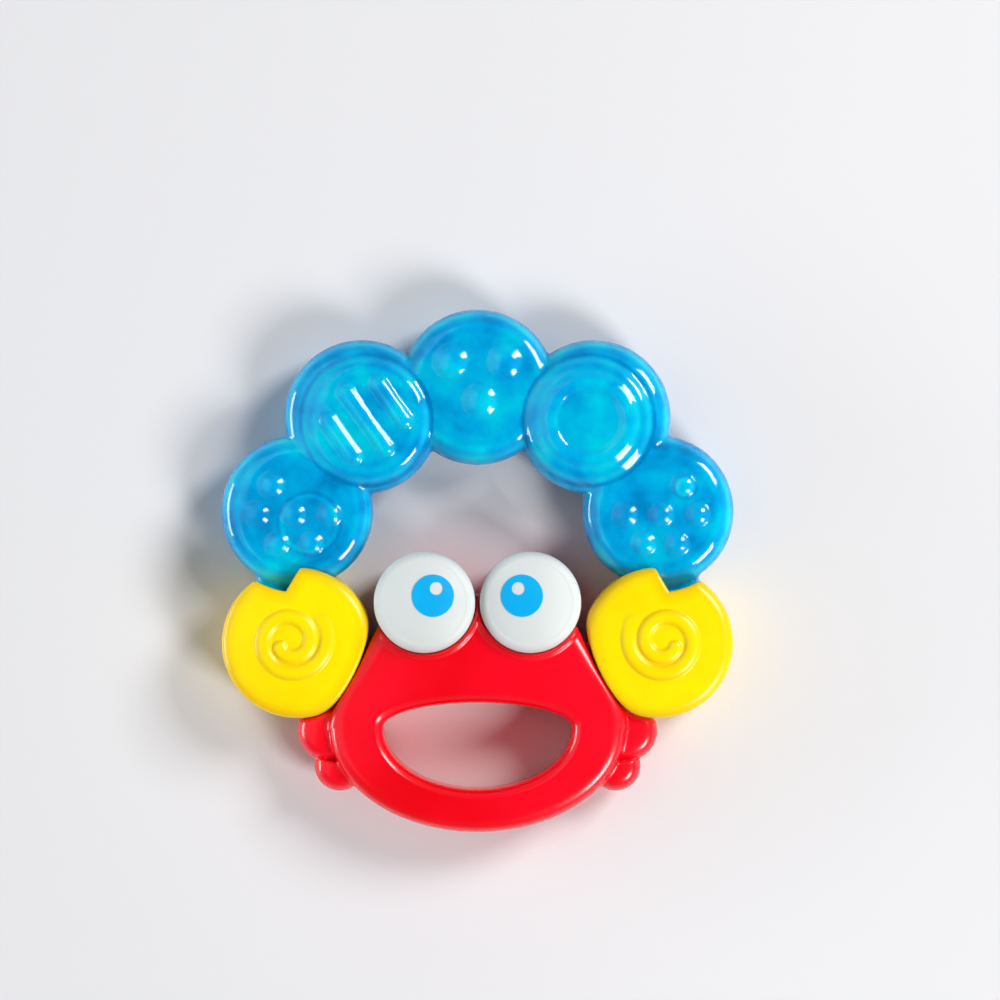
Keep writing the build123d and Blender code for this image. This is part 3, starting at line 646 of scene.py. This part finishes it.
# Noise values between which the shades change, and the moulded grain. Scales are in cells per metre,
# and the grain's height is in millimetres.
PATCH_RANGE, SPREAD_RANGE, SPREAD_DETAIL = (0.35, 0.65), (0.3, 0.7), 4.0
GRAIN_SCALE, GRAIN_HEIGHT = 1800.0, 0.05


def linear(red, green, blue):
    """A colour given as 0 to 255 display values, made linear."""
    parts = [value / 255 for value in (red, green, blue)]
    return [p / 12.92 if p <= 0.04045 else ((p + 0.055) / 1.055) ** 2.4 for p in parts] + [1.0]


def noise(nodes, links, place, scale, detail=2.0):
    """Soft noise from 0 to 1, with its scale in cells per metre."""
    made = nodes.new("ShaderNodeTexNoise")
    made.inputs["Scale"].default_value = scale
    made.inputs["Detail"].default_value = detail
    links.new(place, made.inputs["Vector"])
    return made.outputs["Fac"]


def plastic(name, dark, light, patch, roughness, grain, **sockets):
    """Moulded plastic: two close shades in soft patches, uneven gloss and a fine grain.

    Sockets are the shader's own values, named with _ for a space.
    """
    material = bpy.data.materials.new(name)
    material.use_nodes = True
    nodes, links = material.node_tree.nodes, material.node_tree.links
    shader = nodes["Principled BSDF"]
    for socket, value in sockets.items():
        shader.inputs[socket.replace("_", " ")].default_value = value
    place = nodes.new("ShaderNodeTexCoord").outputs["Object"]

    patches = noise(nodes, links, place, patch)
    # Ramp between the two tones; for the arch and the claws it also turns the stored painted light and
    # shade into colour
    tone_and_painted_light = nodes.new("ShaderNodeValToRGB")
    tone_and_painted_light.name = "tone_and_painted_light"
    for stop, position, colour in zip(tone_and_painted_light.color_ramp.elements, PATCH_RANGE, (dark, light)):
        stop.position, stop.color = position, colour
    links.new(patches, tone_and_painted_light.inputs["Fac"])
    links.new(tone_and_painted_light.outputs["Color"], shader.inputs["Base Color"])

    gloss = nodes.new("ShaderNodeMapRange")
    gloss.inputs["To Min"].default_value, gloss.inputs["To Max"].default_value = roughness
    links.new(patches, gloss.inputs["Value"])
    links.new(gloss.outputs["Result"], shader.inputs["Roughness"])

    raised = nodes.new("ShaderNodeBump")
    raised.inputs["Strength"].default_value = grain
    raised.inputs["Distance"].default_value = GRAIN_HEIGHT * MM
    links.new(noise(nodes, links, place, GRAIN_SCALE), raised.inputs["Height"])
    links.new(raised.outputs["Normal"], shader.inputs["Normal"])
    return material


def colour_by_painted_light_and_shade(material, middle, patch, spread):
    """Lets the piece's stored painted light and shade choose the colour, with soft patches of the given
    spread.
    """
    nodes, links = material.node_tree.nodes, material.node_tree.links
    stored = nodes.new("ShaderNodeAttribute")
    stored.attribute_name = "painted_light_and_shade"
    uneven = nodes.new("ShaderNodeMapRange")
    uneven.inputs["From Min"].default_value, uneven.inputs["From Max"].default_value = SPREAD_RANGE
    uneven.inputs["To Min"].default_value, uneven.inputs["To Max"].default_value = -spread, spread
    place = nodes.new("ShaderNodeTexCoord").outputs["Object"]
    links.new(noise(nodes, links, place, patch, SPREAD_DETAIL), uneven.inputs["Value"])
    total = nodes.new("ShaderNodeMath")
    links.new(stored.outputs["Fac"], total.inputs[0])
    links.new(uneven.outputs["Result"], total.inputs[1])
    tone_and_painted_light = nodes["tone_and_painted_light"]
    ramp = tone_and_painted_light.color_ramp
    ramp.elements[0].position, ramp.elements[1].position = 0.0, 1.0
    ramp.elements.new(0.5).color = middle
    links.new(total.outputs["Value"], tone_and_painted_light.inputs["Fac"])


red = plastic(
    "crab_red",
    linear(240, 0, 18),
    linear(255, 2, 34),
    patch=40,
    roughness=(0.2, 0.3),
    grain=0.15,
    Coat_Weight=0.3,
    Coat_Roughness=0.08,
)
yellow = plastic(
    "claw_yellow",
    linear(246, 186, 0),
    linear(255, 238, 0),
    patch=40,
    roughness=(0.22, 0.3),
    grain=0.3,
    Specular_IOR_Level=0.35,
)
# The yellow follows the claws' stored painted shade: deeper gold at the rims and on the spiral's flanks
colour_by_painted_light_and_shade(yellow, linear(253, 216, 0), patch=60, spread=0.2)
blue = plastic(
    "teether_blue",
    linear(0, 144, 208),
    linear(0, 219, 255),
    patch=90,
    roughness=(0.02, 0.05),
    grain=0.02,
    Transmission_Weight=0.15,
    Subsurface_Weight=0.85,
    Subsurface_Scale=0.003,
    Subsurface_Radius=(0.3, 0.8, 1.0),
    IOR=1.45,
    Coat_Weight=0.15,
    Coat_Roughness=0.02,
)
# The blue follows the arch's stored painted light and shade: deeper at the rims, lighter in the middles,
# with painted refraction lines
colour_by_painted_light_and_shade(blue, linear(0, 184, 243), patch=130, spread=0.42)
water_blue = plastic(
    "water",
    linear(10, 205, 250),
    linear(60, 235, 255),
    patch=90,
    roughness=(0.3, 0.35),
    grain=0.0,
    IOR=1.33,
    Subsurface_Weight=0.7,
    Subsurface_Scale=0.006,
    Subsurface_Radius=(0.2, 0.7, 1.0),
)
white = plastic(
    "eye_white",
    linear(214, 219, 217),
    linear(221, 226, 225),
    patch=40,
    roughness=(0.4, 0.5),
    grain=0.15,
    Specular_IOR_Level=0.35,
)
ink = plastic(
    "pupil_ink",
    linear(0, 170, 234),
    linear(0, 178, 240),
    patch=60,
    roughness=(0.4, 0.5),
    grain=0.1,
    Specular_IOR_Level=0.2,
)
orange = plastic(
    "bead_orange",
    linear(245, 120, 20),
    linear(255, 135, 30),
    patch=60,
    roughness=(0.2, 0.3),
    grain=0.1,
)
steel = plastic(
    "screw_steel",
    linear(150, 152, 156),
    linear(180, 182, 186),
    patch=900,
    roughness=(0.25, 0.4),
    grain=0.3,
    Metallic=1.0,
)

# Finishes of the CAD nodes that keep their own mesh
CAD_FINISH = {
    "eye_left_cap": white,
    "eye_right_cap": white,
    "eye_left_base": white,
    "eye_right_base": white,
    "pupil_left_print": ink,
    "pupil_right_print": ink,
    "teether_plug": blue,
    "body_screws": steel,
    "claw_left_screws": steel,
    "claw_right_screws": steel,
    "eye_screws": steel,
}

for node, finish in CAD_FINISH.items():
    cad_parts[node].data.materials[0] = finish
for node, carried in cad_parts.items():
    if node.startswith("rattle_bead"):
        carried.data.materials[0] = orange

# ---------------------------------------------------------------- pieces

# Mesh steps, and the boxes that hold the pieces; a claw's box is for the right side
ARCH_STEP, WATER_STEP, CLAW_STEP, BODY_STEP = 0.32, 0.5, 0.3, 0.36
ARCH_BOX = ((-54.5, -11.5, PARTING), (54.5, 55.2, 16.6))
WATER_BOX = ((-53, -2.5, 2.0), (53, 53.5, 14))
CLAW_X, CLAW_Y = (21.8, 53.8), (-31.2, 1.2)
BODY_X, BODY_Y = (-38.5, 38.5), (-55, 3.4)
FRONT_TOP, PIN_BOX_TOP = 18, 10


def claw_half(face):
    """Front or back half of a claw. The tab's pins belong to the back half."""

    def field(x, y, z):
        pins = np.maximum(nearest(x, y, TAB_PINS) - PIN_RADIUS, z - PIN_TOP)
        cut = face * (PARTING - z)
        cut = np.maximum(cut, PIN_CLEARANCE - pins) if face == FRONT else np.minimum(cut, pins)
        return smooth_max(claw_shell(x, y, z), cut, SEAM)

    return field


def body_half(face):
    """Front or back half of the body."""

    def field(x, y, z):
        return smooth_max(body_shell(x, y, z), face * (PARTING - z), SEAM)

    return field


def span_corners(x_span, y_span, z_span):
    """Lowest and highest corner of a box."""
    return tuple(zip(x_span, y_span, z_span))


def build_arch():
    """Two skins, one the mirror image of the other, with the water between them."""
    points, quads = mesh_points(arch_skin, ARCH_BOX, ARCH_STEP)
    mirrored = points * (1, 1, -1) + (0, 0, 2 * PARTING)
    front = piece("arch_front_skin", points, quads, blue, "teether_front_skin")
    back = piece("arch_back_skin", mirrored, quads[:, ::-1], blue, "teether_back_skin")
    # Both skins carry the arch's painted light and shade
    for made in (front, back):
        store_painted_light_and_shade(made, arch_painted_light(points))
    points, quads = mesh_points(water, WATER_BOX, WATER_STEP)
    piece("arch_water", points, quads, water_blue, "teether_water")


def build_claw(name, side):
    """Front and back half of one claw."""
    x_span = sorted(side * x for x in CLAW_X)
    heights = (("front", FRONT, (PARTING, FRONT_TOP)), ("back", BACK, (CLAW_BACK, PIN_BOX_TOP)))
    for half, face, z_span in heights:
        points, quads = mesh_points(claw_half(face), span_corners(x_span, CLAW_Y, z_span), CLAW_STEP)
        node = f"claw_{name}_{half}"
        made = piece(f"{node}_shell", points, quads, yellow, node)
        # Each half carries the claw's painted shade
        store_painted_light_and_shade(made, claw_painted_shade(points))


def build_body():
    """Front and back half of the body."""
    for half, face, z_span in (("front", FRONT, (PARTING, FRONT_TOP)), ("back", BACK, (0, PARTING))):
        points, quads = mesh_points(body_half(face), span_corners(BODY_X, BODY_Y, z_span), BODY_STEP)
        piece(f"crab_body_{half}", points, quads, red, f"body_{half}")


build_arch()
for name, side in SIDES.items():
    build_claw(name, side)
build_body()

# ---------------------------------------------------------------- floor, light and camera

# Lengths in metres, but for the sensor's width. The view's centre is a little right of the toy's.
FLOOR_REACH, FLOOR_DROP, FLOOR_ROUGHNESS = 2, 0.0004, 0.7
FLOOR_COLOUR = (228, 227, 229)
WALL_LIGHT, CEILING_LIGHT, CEILING_START = 0.32, 0.01, 0.95
WALL_COLOUR, WINDOW_COLOUR = (0.96, 0.98, 1.0, 1.0), (0.85, 0.94, 1.0)
CAMERA_HEIGHT = 1.22
VIEW_CENTRE = (0.0047, 0.01475)
VIEW_WIDTH = 0.2114
SENSOR_WIDTH = 36.0
NEAREST_SEEN, FARTHEST_SEEN = 0.05, 10.0


def floor():
    """Pale floor just under the toy."""
    material = bpy.data.materials.new("floor")
    material.use_nodes = True
    shader = material.node_tree.nodes["Principled BSDF"]
    shader.inputs["Base Color"].default_value = linear(*FLOOR_COLOUR)
    shader.inputs["Roughness"].default_value = FLOOR_ROUGHNESS
    mesh = bpy.data.meshes.new("floor")
    turns = ((-1, -1), (1, -1), (1, 1), (-1, 1))
    corners = [(x * FLOOR_REACH, y * FLOOR_REACH, -FLOOR_DROP) for x, y in turns]
    mesh.from_pydata(corners, [], [(0, 1, 2, 3)])
    mesh.materials.append(material)
    made = bpy.data.objects.new("floor", mesh)
    bpy.context.scene.collection.objects.link(made)


def softbox(name, azimuth, height, distance, size, power, colour=(1.0, 1.0, 1.0)):
    """Area light aimed at the object's middle; azimuth and height are in degrees."""
    light = bpy.data.lights.new(name, "AREA")
    light.shape = "RECTANGLE"
    light.size, light.size_y = size
    light.energy, light.color = power, colour
    turn, rise = radians(azimuth), radians(height)
    out = Vector((cos(turn) * cos(rise), sin(turn) * cos(rise), sin(rise)))
    made = bpy.data.objects.new(name, light)
    made.location = out * distance
    made.rotation_euler = out.to_track_quat("Z", "Y").to_euler()
    bpy.context.scene.collection.objects.link(made)


def studio():
    """Even light from the walls, with a dark ceiling that flat glossy faces mirror."""
    world = bpy.data.worlds.new("studio")
    world.use_nodes = True
    nodes, links = world.node_tree.nodes, world.node_tree.links
    apart = nodes.new("ShaderNodeSeparateXYZ")
    links.new(nodes.new("ShaderNodeTexCoord").outputs["Generated"], apart.inputs["Vector"])
    fall = nodes.new("ShaderNodeMapRange")
    fall.inputs["From Min"].default_value, fall.inputs["From Max"].default_value = 0.0, CEILING_START
    fall.inputs["To Min"].default_value, fall.inputs["To Max"].default_value = WALL_LIGHT, CEILING_LIGHT
    links.new(apart.outputs["Z"], fall.inputs["Value"])
    background = nodes["Background"]
    background.inputs["Color"].default_value = WALL_COLOUR
    links.new(fall.outputs["Result"], background.inputs["Strength"])
    bpy.context.scene.world = world


def place_camera():
    """Camera straight above the toy, so far off that its sides hardly show."""
    lens = bpy.data.cameras.new("camera")
    lens.sensor_width = SENSOR_WIDTH
    lens.lens = SENSOR_WIDTH * CAMERA_HEIGHT / VIEW_WIDTH
    lens.clip_start, lens.clip_end = NEAREST_SEEN, FARTHEST_SEEN
    made = bpy.data.objects.new("camera", lens)
    made.location = (*VIEW_CENTRE, CAMERA_HEIGHT)
    bpy.context.scene.collection.objects.link(made)
    bpy.context.scene.camera = made


floor()
studio()
softbox("strip_high", azimuth=35, height=40, distance=1.5, size=(0.46, 0.56), power=15.0)
softbox("strip_low", azimuth=-40, height=40, distance=1.5, size=(0.46, 0.56), power=15.0)
softbox("fill", azimuth=165, height=50, distance=1.5, size=(1.6, 1.6), power=3.7)
softbox("window", azimuth=178, height=5, distance=0.8, size=(0.6, 0.28), power=6.0, colour=WINDOW_COLOUR)
bpy.context.scene.view_settings.view_transform = "Standard"
place_camera()
